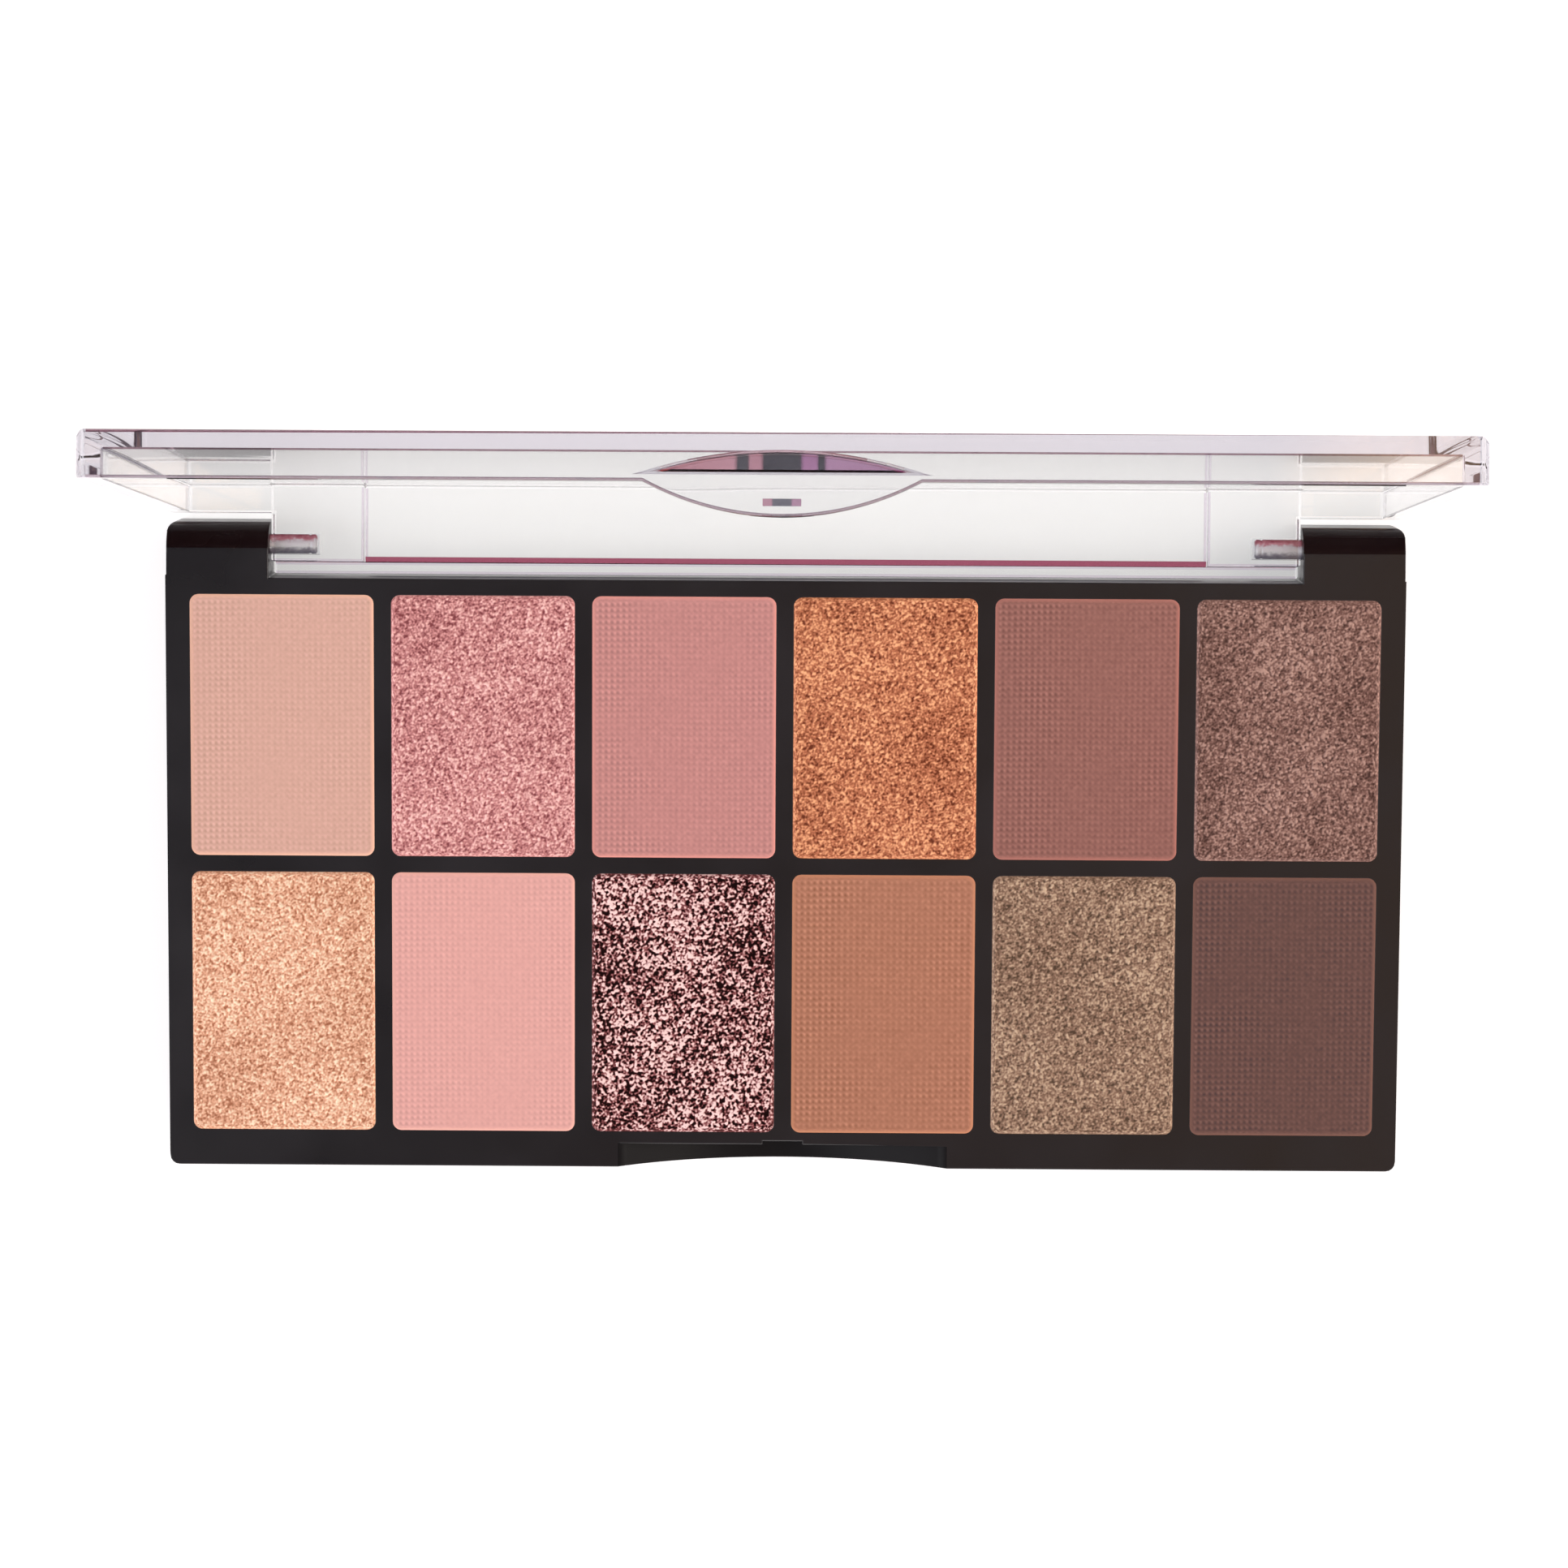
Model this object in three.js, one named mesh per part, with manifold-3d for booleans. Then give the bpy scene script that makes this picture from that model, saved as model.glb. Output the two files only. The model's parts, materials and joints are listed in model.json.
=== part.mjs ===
// Eyeshadow palette: a black tray with two rows of pressed powders under one deck, and a clear
// lid on two steel hinge pins. The lid stands open against its stop.
// Millimetres, +Z up. The origin is the centre of the base's underside, the front faces -Y.
import * as THREE from 'three';
import { mergeVertices } from 'three/addons/utils/BufferGeometryUtils.js';
import Module from 'manifold-3d';

const wasm = await Module();
wasm.setup();

// ---- driving dimensions ----
const baseWidth = 124;
const baseDepth = 65;
const baseHeight = 8;
const frontCornerRadius = 0.95;
const backCornerRadius = 0.8;

const columnCount = 6;
const rowCount = 2;
const windowWidth = 18.4;
const windowLength = 26.3;
const windowRadius = 0.9;
const columnPitch = 20.15;
const rowPitch = 27.95;
const windowsCentreY = -1.725; // middle of the bar between the two rows
const deckThickness = 1.2;

const plateThickness = 1.4;
const plateGap = 0.1;
const plateSideMargin = 1.6;
const plateFrontMargin = 1.5;
const plateBackMargin = 6.4;
const labelWidth = 62;
const labelDepth = 26;
const labelThickness = 0.2;

const panWall = 0.3;
const panGap = 0.05;
const panTop = baseHeight - deckThickness - 0.1;
const glueRadius = 4;
const glueThickness = 0.5;
const powderGap = 0.05;
const powderTop = baseHeight + 0.1; // the cakes stand a little proud of the deck
const powderBevel = 0.4;

const openAngle = 96; // degrees from closed to the stop
const pinInset = 2.25; // hinge axis, in from the back face
const pinDrop = 3; // hinge axis, below the deck
const pinRadius = 1;
const pinInnerEnd = 47;
const pinOuterEnd = 61.6;
const pinSegments = 24;
const earBoreRadius = 1.06;
const knuckleBoreRadius = 1.08;
const earInner = 51.7;
const earStepBack = 5.2;
const earStep = 0.1;
const earTopRadius = 2.85;
const cutoutDepth = 5.45;

const notchWidth = 33.3;
const notchDepth = 5.9;
const notchSetback = 2.4;
const catchWidth = 4;
const catchDepth = 0.35;
const catchFloorZ = 4.9;
const catchBead = 0.1;
const catchBeadLow = 7;
const catchBeadHigh = 7.5;

const rimGap = 0.15; // closed lid's rim above the deck
const lidHeight = 4.3;
const panelThickness = 1.55;
const lidWall = 2.1;
const lidCornerRadius = 1;
const lidShoulder = lidCornerRadius; // round between the panel and the side walls
const tongueWall = 1.8;
const ledgeWall = 2.4; // thicker stretch of the tongue, between the knuckles
const ledgeRound = 0.55;
const tongueDrop = 2.9; // tongue's lower edge, below the hinge axis
const knuckleInner = 42.2;
const knuckleOuter = 51.5;
const knuckleFront = 1.9; // knuckle's front face, ahead of the hinge axis
const knuckleDrop = 1.78;
const tabWidth = 24.6;
const tabDrop = 3.1;
const scoopWidth = 22.9;
const scoopLow = 0.8;
const scoopHigh = 2.5;
const scoopDepth = 0.8;
const latchBlockWidth = 6.2;
const latchBlockRise = 2.5;
const latchBlockProud = 0.12;
const latchWidth = 3.4;
const latchReach = 0.45;
const latchHigh = 1.45; // ridge, below the rim
const latchLow = 2.1;

const cornerSegments = 2; // a round corner takes twice this many
const sideSegments = 6;
const shoulderSegments = 3;
const arcSegments = 14;
const past = 1; // how far a cutter runs past the face it opens

// ---- places worked out from them ----
const halfWidth = baseWidth / 2;
const halfDepth = baseDepth / 2;
const pinY = halfDepth - pinInset;
const pinZ = baseHeight - pinDrop;
const cutoutY = halfDepth - cutoutDepth;
const notchY = -halfDepth + notchSetback;
const panWidth = windowWidth + 2 * panWall;
const panLength = windowLength + 2 * panWall;
const panBottom = plateThickness + glueThickness;
const rimZ = baseHeight + rimGap;
const lidTopZ = rimZ + lidHeight;
const panelZ = lidTopZ - panelThickness;

// ---- materials ----
const blackPlastic = { color: 0x2a292d, roughness: 0.42, metalness: 0 };
const clearPlastic = { color: 0xeeeef2, roughness: 0.05, transparent: true, opacity: 0.35 };
const pinSteel = { color: 0xb9b4bb, roughness: 0.3, metalness: 1 };
const panTin = { color: 0xc9c9cc, roughness: 0.35, metalness: 1 };
const hotMelt = { color: 0xe6dfcf, roughness: 0.5, metalness: 0 };
const labelPaper = { color: 0xe9e9e7, roughness: 0.7, metalness: 0 };
const powderColors = [
  0xdcad9d, 0xcd9191, 0xc98c87, 0xc17b5a, 0x99685f, 0x89685e, // back row, left to right
  0xe3ae91, 0xe3a9a1, 0xa07272, 0xb27961, 0x957865, 0x6c4f49, // front row, left to right
];

// ---- shapes ----
// Quarter round about (x, y), counterclockwise from the given number of quarter turns.
function quarter(shape, x, y, radius, from) {
  shape.absarc(x, y, radius, from * Math.PI / 2, (from + 1) * Math.PI / 2);
}

function roundedRect(width, length, radius) {
  const x = width / 2 - radius;
  const y = length / 2 - radius;
  const shape = new THREE.Shape();
  quarter(shape, x, -y, radius, 3);
  quarter(shape, x, y, radius, 0);
  quarter(shape, -x, y, radius, 1);
  quarter(shape, -x, -y, radius, 2);
  return shape;
}

// Prism that stands on lowZ with a plan outline.
function prism(shape, lowZ, highZ) {
  const options = { depth: highZ - lowZ, bevelEnabled: false, curveSegments: cornerSegments };
  return new THREE.ExtrudeGeometry(shape, options).translate(0, 0, lowZ);
}

// Prism along Y, from a front outline of x and z.
function prismAlongY(shape, lowY, highY, curveSegments = arcSegments) {
  const options = { depth: highY - lowY, bevelEnabled: false, curveSegments };
  return new THREE.ExtrudeGeometry(shape, options).rotateX(Math.PI / 2).translate(0, highY, 0);
}

// Prism along X, from a side outline of y and z.
function prismAlongX(shape, lowX, highX) {
  const options = { depth: highX - lowX, bevelEnabled: false, curveSegments: sideSegments };
  const turn = new THREE.Matrix4().makeBasis(
    new THREE.Vector3(0, 1, 0), new THREE.Vector3(0, 0, 1), new THREE.Vector3(1, 0, 0));
  return new THREE.ExtrudeGeometry(shape, options).applyMatrix4(turn).translate(lowX, 0, 0);
}

function box(low, high) {
  const size = high.map((value, axis) => value - low[axis]);
  const centre = high.map((value, axis) => (value + low[axis]) / 2);
  return new THREE.BoxGeometry(...size).translate(...centre);
}

function rod(radius, lowX, highX, y, z) {
  const rodGeometry = new THREE.CylinderGeometry(radius, radius, highX - lowX, pinSegments);
  return rodGeometry.rotateZ(Math.PI / 2).translate((lowX + highX) / 2, y, z);
}

// Outline between a straight chord at chordZ and an arc that reaches tipZ at x = 0.
function arcSegment(width, chordZ, tipZ) {
  const rise = Math.abs(tipZ - chordZ);
  const radius = ((width / 2) ** 2 + rise ** 2) / (2 * rise);
  const side = Math.sign(tipZ - chordZ);
  const centreZ = tipZ - side * radius;
  const half = Math.asin(width / 2 / radius);
  const middle = side * Math.PI / 2;
  const shape = new THREE.Shape();
  shape.absarc(0, centreZ, radius, middle - half, middle + half);
  shape.closePath();
  return shape;
}

// ---- joining and cutting ----
function toSolid(geometry) {
  const bare = geometry.clone();
  bare.deleteAttribute('normal');
  bare.deleteAttribute('uv');
  const merged = mergeVertices(bare, 1e-5);
  return new wasm.Manifold(new wasm.Mesh({
    numProp: 3,
    vertProperties: new Float32Array(merged.attributes.position.array),
    triVerts: new Uint32Array(merged.index.array),
  }));
}

function toGeometry(solid) {
  const mesh = solid.getMesh();
  const geometry = new THREE.BufferGeometry();
  geometry.setAttribute('position', new THREE.BufferAttribute(mesh.vertProperties, 3));
  geometry.setIndex(new THREE.BufferAttribute(mesh.triVerts, 1));
  geometry.computeVertexNormals();
  return geometry;
}

function cut(solid, ...geometries) {
  return geometries.reduce((rest, geometry) => rest.subtract(toSolid(geometry)), solid);
}

function join(solid, ...geometries) {
  return geometries.reduce((whole, geometry) => whole.add(toSolid(geometry)), solid);
}

const palette = new THREE.Group();

function place(name, geometry, look, parent = palette) {
  const mesh = new THREE.Mesh(geometry, new THREE.MeshStandardMaterial(look));
  mesh.name = name;
  parent.add(mesh);
  return mesh;
}

// Centre of each well, row by row from the back, each row from left to right.
const wells = [];
for (let row = 0; row < rowCount; row += 1) {
  for (let column = 0; column < columnCount; column += 1) {
    const x = (column - (columnCount - 1) / 2) * columnPitch;
    const y = windowsCentreY + ((rowCount - 1) / 2 - row) * rowPitch;
    const number = String(wells.length + 1).padStart(2, '0');
    wells.push({ x, y, number });
  }
}

// ---- top frame: deck, side walls, hinge ears and thumb notch in one moulding ----

function frameOutline() {
  const earX = halfWidth - earStep;
  const earY = halfDepth - backCornerRadius;
  const stepY = halfDepth - earStepBack;
  const frontX = halfWidth - frontCornerRadius;
  const frontY = -halfDepth + frontCornerRadius;
  const shape = new THREE.Shape();
  shape.moveTo(-frontX, -halfDepth);
  quarter(shape, frontX, frontY, frontCornerRadius, 3);
  shape.lineTo(halfWidth, stepY);
  shape.lineTo(earX, stepY);
  quarter(shape, earX - backCornerRadius, earY, backCornerRadius, 0);
  shape.lineTo(earInner, halfDepth);
  shape.lineTo(earInner, cutoutY);
  shape.lineTo(-earInner, cutoutY);
  shape.lineTo(-earInner, halfDepth);
  quarter(shape, -earX + backCornerRadius, earY, backCornerRadius, 1);
  shape.lineTo(-earX, stepY);
  shape.lineTo(-halfWidth, stepY);
  quarter(shape, -frontX, frontY, frontCornerRadius, 2);
  return shape;
}

// Side outline whose top back edge is rounded, so the lid's rim can turn past it.
function sideOutline() {
  const shape = new THREE.Shape();
  shape.moveTo(-halfDepth - past, -past);
  shape.lineTo(halfDepth, -past);
  shape.lineTo(halfDepth, baseHeight - earTopRadius);
  shape.absarc(halfDepth - earTopRadius, baseHeight - earTopRadius, earTopRadius, 0, Math.PI / 2);
  shape.lineTo(-halfDepth - past, baseHeight);
  return shape;
}

const plateLeft = halfWidth - plateSideMargin;
const plateFront = -halfDepth + plateFrontMargin;
const plateBack = halfDepth - plateBackMargin;

function makeTopFrame() {
  const block = toSolid(prism(frameOutline(), 0, baseHeight));
  let frame = block.intersect(toSolid(prismAlongX(sideOutline(), -halfWidth - past, halfWidth + past)));
  for (const well of wells) {
    const windowShape = roundedRect(windowWidth, windowLength, windowRadius);
    const opening = prism(windowShape, panTop, baseHeight + past);
    const seatShape = roundedRect(panWidth + 2 * panGap, panLength + 2 * panGap, windowRadius + panWall);
    const seat = prism(seatShape, 0, baseHeight - deckThickness);
    frame = cut(frame, opening.translate(well.x, well.y, 0), seat.translate(well.x, well.y, 0));
  }
  const plateRecess = box(
    [-plateLeft - plateGap, plateFront - plateGap, -past],
    [plateLeft + plateGap, plateBack + plateGap, plateThickness + plateGap]);
  const notchArc = arcSegment(notchWidth, baseHeight, baseHeight - notchDepth);
  const notch = prismAlongY(notchArc, -halfDepth - past, notchY);
  const catchSlot = box(
    [-catchWidth / 2, notchY - past, catchFloorZ],
    [catchWidth / 2, notchY + catchDepth, baseHeight + past]);
  frame = cut(frame, plateRecess, notch, catchSlot);
  const bead = box(
    [-catchWidth / 2 - panGap, notchY + catchDepth - catchBead, catchBeadLow],
    [catchWidth / 2 + panGap, notchY + catchDepth + catchBead, catchBeadHigh]);
  frame = join(frame, bead);
  return cut(
    frame,
    rod(earBoreRadius, -halfWidth - past, -earInner + past, pinY, pinZ),
    rod(earBoreRadius, earInner - past, halfWidth + past, pinY, pinZ));
}
place('top_frame', toGeometry(makeTopFrame()), blackPlastic);

// ---- bottom plate with its blank label ----
function makeBottomPlate() {
  const plate = toSolid(box([-plateLeft, plateFront, 0], [plateLeft, plateBack, plateThickness]));
  const recess = box(
    [-labelWidth / 2 - plateGap, -labelDepth / 2 - plateGap, -past],
    [labelWidth / 2 + plateGap, labelDepth / 2 + plateGap, labelThickness]);
  return cut(plate, recess);
}
place('bottom_plate', toGeometry(makeBottomPlate()), blackPlastic);
place('base_label', prism(roundedRect(labelWidth, labelDepth, 1.5), 0, labelThickness), labelPaper);

// ---- pans, each stuck down with a pad of hot melt and filled with pressed powder ----
function makePan() {
  const outline = roundedRect(panWidth, panLength, windowRadius + panWall);
  const inner = roundedRect(windowWidth, windowLength, windowRadius);
  const outside = prism(outline, panBottom, panTop);
  const inside = prism(inner, panBottom + panWall, panTop + past);
  return toGeometry(cut(toSolid(outside), inside));
}

function makePowder() {
  const low = panBottom + panWall;
  const outline = roundedRect(windowWidth - 2 * powderGap, windowLength - 2 * powderGap, windowRadius);
  return new THREE.ExtrudeGeometry(outline, {
    depth: powderTop - low - 2 * powderBevel,
    curveSegments: cornerSegments,
    bevelSegments: 1,
    bevelSize: powderBevel,
    bevelThickness: powderBevel,
    bevelOffset: -powderBevel,
  }).translate(0, 0, low + powderBevel);
}

function makeGluePad() {
  const pad = new THREE.CylinderGeometry(glueRadius, glueRadius, glueThickness, 16);
  return pad.rotateX(Math.PI / 2).translate(0, 0, plateThickness + glueThickness / 2);
}

wells.forEach((well, index) => {
  const powderLook = { color: powderColors[index], roughness: 0.9, metalness: 0 };
  const pieces = [
    place(`glue_pad_${well.number}`, makeGluePad(), hotMelt),
    place(`pan_${well.number}`, makePan(), panTin),
    place(`powder_${well.number}`, makePowder(), powderLook),
  ];
  pieces.forEach((piece) => piece.position.set(well.x, well.y, 0));
});

// ---- hinge pins, fixed in the ears ----
place('hinge_pin_left', rod(pinRadius, -pinOuterEnd, -pinInnerEnd, pinY, pinZ), pinSteel);
place('hinge_pin_right', rod(pinRadius, pinInnerEnd, pinOuterEnd, pinY, pinZ), pinSteel);

// ---- clear lid, modelled closed and turned open about the hinge axis ----
// Front outline of the lid's tray, with round shoulders.
function lidOutline() {
  const shoulderX = halfWidth - lidShoulder;
  const shoulderZ = lidTopZ - lidShoulder;
  const shape = new THREE.Shape();
  shape.moveTo(-halfWidth, rimZ);
  shape.lineTo(halfWidth, rimZ);
  quarter(shape, shoulderX, shoulderZ, lidShoulder, 0);
  quarter(shape, -shoulderX, shoulderZ, lidShoulder, 1);
  return shape;
}

// Side outline of the ledge that stiffens the tongue between the knuckles.
function ledgeOutline(lowZ, highZ) {
  const faceY = halfDepth - ledgeWall;
  const shape = new THREE.Shape();
  shape.moveTo(halfDepth, highZ);
  shape.lineTo(faceY, highZ);
  quarter(shape, faceY + ledgeRound, lowZ + ledgeRound, ledgeRound, 2);
  shape.lineTo(halfDepth, lowZ);
  return shape;
}

function makeLid() {
  const tongueZ = pinZ - tongueDrop;
  const tabLowZ = rimZ - tabDrop;
  const wallInnerY = -halfDepth + lidWall;
  const rootZ = panelZ + panelThickness / 2;
  const cavity = box(
    [-halfWidth + lidWall, wallInnerY, rimZ - past],
    [halfWidth - lidWall, halfDepth - lidWall, panelZ]);
  const outline = roundedRect(baseWidth, baseDepth, lidCornerRadius);
  const tray = prismAlongY(lidOutline(), -halfDepth - past, halfDepth + past, shoulderSegments);
  let lid = cut(toSolid(prism(outline, rimZ, lidTopZ)).intersect(toSolid(tray)), cavity);
  lid = join(lid, box(
    [-knuckleOuter, halfDepth - tongueWall, tongueZ],
    [knuckleOuter, halfDepth, rootZ]));
  const ledge = ledgeOutline(pinZ - knuckleDrop, rootZ);
  lid = join(lid, prismAlongX(ledge, -knuckleInner - past, knuckleInner + past));
  for (const side of [-1, 1]) {
    const ends = [side * knuckleInner, side * knuckleOuter].sort((a, b) => a - b);
    lid = join(lid, box(
      [ends[0], pinY - knuckleFront, pinZ - knuckleDrop],
      [ends[1], halfDepth, rootZ]));
    const bore = [side * (pinInnerEnd - 0.3), side * (knuckleOuter + past)].sort((a, b) => a - b);
    lid = cut(lid, rod(knuckleBoreRadius, bore[0], bore[1], pinY, pinZ));
  }
  const tabWhole = toSolid(prismAlongY(arcSegment(tabWidth, rimZ, tabLowZ), -halfDepth, wallInnerY));
  lid = lid.add(tabWhole);
  const blockBox = toSolid(box(
    [-latchBlockWidth / 2, wallInnerY - past, tabLowZ - past],
    [latchBlockWidth / 2, wallInnerY + latchBlockProud, rimZ + latchBlockRise]));
  const blockReach = toSolid(prismAlongY(
    arcSegment(tabWidth, rimZ + latchBlockRise, tabLowZ), wallInnerY - past, wallInnerY + past));
  lid = lid.add(blockBox.intersect(blockReach));
  lid = join(lid, box(
    [-latchWidth / 2, wallInnerY - past, rimZ - latchLow],
    [latchWidth / 2, wallInnerY + latchReach, rimZ - latchHigh]));
  const scoop = arcSegment(scoopWidth, rimZ + scoopLow, rimZ + scoopHigh);
  return cut(lid, prismAlongY(scoop, -halfDepth - past, -halfDepth + scoopDepth));
}

const hinge = new THREE.Group();
hinge.position.set(0, pinY, pinZ);
hinge.rotation.x = -THREE.MathUtils.degToRad(openAngle);
palette.add(hinge);
place('lid_shell', toGeometry(makeLid()).translate(0, -pinY, -pinZ), clearPlastic, hinge);

export default palette;
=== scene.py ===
import json
import math

import bmesh
import bpy
import numpy as np
from mathutils import Matrix, Vector


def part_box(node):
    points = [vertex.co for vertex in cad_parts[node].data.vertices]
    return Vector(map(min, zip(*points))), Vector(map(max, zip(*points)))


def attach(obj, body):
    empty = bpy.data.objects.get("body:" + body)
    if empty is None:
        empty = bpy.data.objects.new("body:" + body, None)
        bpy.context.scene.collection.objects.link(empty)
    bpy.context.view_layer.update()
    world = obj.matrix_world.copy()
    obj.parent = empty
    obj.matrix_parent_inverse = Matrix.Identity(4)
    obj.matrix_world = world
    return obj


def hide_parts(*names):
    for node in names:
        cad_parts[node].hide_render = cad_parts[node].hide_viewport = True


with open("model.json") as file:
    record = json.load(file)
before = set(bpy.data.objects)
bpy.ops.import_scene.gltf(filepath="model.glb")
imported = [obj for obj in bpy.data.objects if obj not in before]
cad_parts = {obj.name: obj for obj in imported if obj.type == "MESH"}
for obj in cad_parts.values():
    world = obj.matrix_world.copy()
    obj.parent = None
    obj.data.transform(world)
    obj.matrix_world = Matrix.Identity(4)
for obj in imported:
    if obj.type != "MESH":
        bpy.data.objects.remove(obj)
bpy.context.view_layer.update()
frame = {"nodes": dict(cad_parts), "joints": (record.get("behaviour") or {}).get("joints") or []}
mm = 0.001
hinge = frame["joints"][0]
noiseReach = (0.3, 0.7)  # nearly all of a noise texture's values lie between these
print("frame loaded:", len(frame["nodes"]), "nodes")


def hexColor(text):
    # sRGB hex to linear RGBA: the standard's straight toe, then a 2.4 power
    parts = [int(text[i:i + 2], 16) / 255 for i in (0, 2, 4)]
    return [c / 12.92 if c <= 0.04045 else ((c + 0.055) / 1.055) ** 2.4 for c in parts] + [1.0]


def addNode(tree, kind, settings=None, **links):
    # one node with its settings; links and values go in by socket name, or as i and the socket's number
    node = tree.nodes.new(kind)
    for key, value in (settings or {}).items():
        setattr(node, key, value)
    for key, value in links.items():
        numbered = key[0] == "i" and key[1:].isdigit()
        socket = node.inputs[int(key[1:]) if numbered else key.replace("_", " ")]
        if isinstance(value, bpy.types.NodeSocket):
            tree.links.new(value, socket)
        else:
            socket.default_value = hexColor(value) if isinstance(value, str) else value
    return node


def addMix(tree, share, first, second):
    mix = addNode(tree, "ShaderNodeMix", {"data_type": "RGBA"}, Factor=share, i6=first, i7=second)
    return mix.outputs[2]


def addMath(tree, operation, first, second):
    return addNode(tree, "ShaderNodeMath", {"operation": operation}, i0=first, i1=second).outputs["Value"]


def addRange(tree, value, low, high, toLow=0.0, toHigh=1.0, curve="LINEAR"):
    return addNode(tree, "ShaderNodeMapRange", {"interpolation_type": curve}, Value=value, From_Min=low,
                   From_Max=high, To_Min=toLow, To_Max=toHigh).outputs["Result"]


def addRamp(tree, share, stops):
    ramp = addNode(tree, "ShaderNodeValToRGB", Fac=share)
    elements = ramp.color_ramp.elements
    for element, (place, color) in ((elements[0], stops[0]), (elements[1], stops[-1])):
        element.position, element.color = place, hexColor(color)
    for place, color in stops[1:-1]:
        elements.new(place).color = hexColor(color)
    return ramp.outputs["Color"]


def newMaterial(name):
    material = bpy.data.materials.new(name)
    material.use_nodes = True
    material.node_tree.nodes.clear()
    return material, material.node_tree


def finishMaterial(tree, **sockets):
    shader = addNode(tree, "ShaderNodeBsdfPrincipled", **sockets)
    addNode(tree, "ShaderNodeOutputMaterial", Surface=shader.outputs["BSDF"])


def objectPoint(tree):
    return addNode(tree, "ShaderNodeTexCoord").outputs["Object"]


def makeGrained(name, values):
    # a clouded colour under a fine grain that also roughens and dents the face
    material, tree = newMaterial(name)
    point = objectPoint(tree)
    cloud = addNode(tree, "ShaderNodeTexNoise", Vector=point, Scale=1 / (values["cloud"] * mm), Detail=3.0)
    fine = addNode(tree, "ShaderNodeTexNoise", Vector=point, Scale=1 / (values["grain"] * mm), Detail=4.0)
    share = addRange(tree, cloud.outputs["Fac"], *noiseReach)
    color = addMix(tree, share, values["darker"], values["lighter"])
    rough = addRange(tree, cloud.outputs["Fac"], *noiseReach, *values["roughness"])
    bump = addNode(tree, "ShaderNodeBump", Height=fine.outputs["Fac"], Strength=0.35,
                   Distance=values["bump"] * mm)
    finishMaterial(tree, Base_Color=color, Roughness=rough, Metallic=values.get("metallic", 0.0),
                   Specular_IOR_Level=values.get("specular", 0.5), Normal=bump.outputs["Normal"])
    return material


def dress(obj, material):
    obj.data.materials.clear()
    obj.data.materials.append(material)


def meshFromArrays(name, points, quads, extraFaces=()):
    mesh = bpy.data.meshes.new(name)
    mesh.from_pydata(points.tolist(), [], [*quads.tolist(), *extraFaces])
    mesh.update()
    obj = bpy.data.objects.new(name, mesh)
    bpy.context.scene.collection.objects.link(obj)
    return obj


def pointAttribute(obj, name, values):
    attribute = obj.data.attributes.new(name, "FLOAT", "POINT")
    attribute.data.foreach_set("value", np.asarray(values, np.float32).ravel())


def smoothAll(obj):
    obj.data.polygons.foreach_set("use_smooth", [True] * len(obj.data.polygons))
    obj.data.update()


def useFor(obj, body, nodeName):
    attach(obj, body)
    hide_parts(nodeName)


stage = {
    "cameraAt": (2.797, 61.153, 491.359),  # mm
    "cameraTurn": (6.436, -0.332, -0.344),  # degrees about X, Y and Z
    "lens": 111.28,
    "floorSize": 3.0,
    "floorColor": "c8c8c8",
    "floorGlow": 0.65,  # paper on a light table
    "ceiling": "5a586a",  # the lit ceiling panel
    "warmPanel": "ffc890",  # a narrow, warm panel, mirrored only by the deck's right side
    "warmPanelStrength": 2.2,
    "warmPanelFrom": (0.095, 0.12),  # its two soft edges, as shares of the way to the right
    "warmPanelTo": (0.2, 0.16),
    "wallLeft": "7e6670",  # mauve cloth round the table
    "wallRight": "8a7068",
    "wallTurn": (-0.12, 0.14),  # where the wall goes over from its left colour to its right one
    "panelEdge": (0.84, 0.9),  # height of the ceiling panel's soft edge, as a share of straight up
    "softboxes": [
        # name, place in m, size in m, power in W, colour
        ("softboxLeft", (-0.75, -0.15, 0.75), (0.7, 0.9), 5.5, "fbfcff"),
        ("softboxRight", (0.8, 0.1, 0.6), (0.7, 0.9), 7.3, "fff7f0"),
        ("softboxFront", (0.0, -0.85, 0.65), (1.0, 0.6), 4.6, "ffffff"),
    ],
}

camera = bpy.data.objects.new("camera", bpy.data.cameras.new("camera"))
bpy.context.scene.collection.objects.link(camera)
turnX, turnY, turnZ = (math.radians(-angle) for angle in stage["cameraTurn"])
turn = Matrix.Rotation(turnX, 3, "X") @ Matrix.Rotation(turnY, 3, "Y") @ Matrix.Rotation(turnZ, 3, "Z")
camera.matrix_world = Matrix.Translation(Vector(stage["cameraAt"]) * mm) @ turn.to_4x4()
camera.data.lens = stage["lens"]
camera.data.sensor_width = 36
camera.data.clip_start = 0.01
camera.data.clip_end = 20
bpy.context.scene.camera = camera
bpy.context.scene.view_settings.view_transform = "Standard"
# light crosses many faces of the clear lid before it gets out
bpy.context.scene.cycles.max_bounces = 32
bpy.context.scene.cycles.glossy_bounces = 24
bpy.context.scene.cycles.transmission_bounces = 24

world = bpy.data.worlds.new("studio")
world.use_nodes = True
bpy.context.scene.world = world
sky = world.node_tree
sky.nodes.clear()
along = addNode(sky, "ShaderNodeSeparateXYZ", Vector=addNode(sky, "ShaderNodeTexCoord").outputs["Generated"])
toRight = along.outputs["X"]
upward = addRange(sky, along.outputs["Z"], *stage["panelEdge"], curve="SMOOTHSTEP")
wall = addMix(sky, addRange(sky, toRight, *stage["wallTurn"]), stage["wallLeft"], stage["wallRight"])
room = addNode(sky, "ShaderNodeBackground", Color=addMix(sky, upward, wall, stage["ceiling"]), Strength=1.0)
warm = addMath(sky, "MULTIPLY", addRange(sky, toRight, *stage["warmPanelFrom"]),
               addRange(sky, toRight, *stage["warmPanelTo"], toHigh=stage["warmPanelStrength"]))
overhead = addMath(sky, "MULTIPLY", warm, upward)
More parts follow.
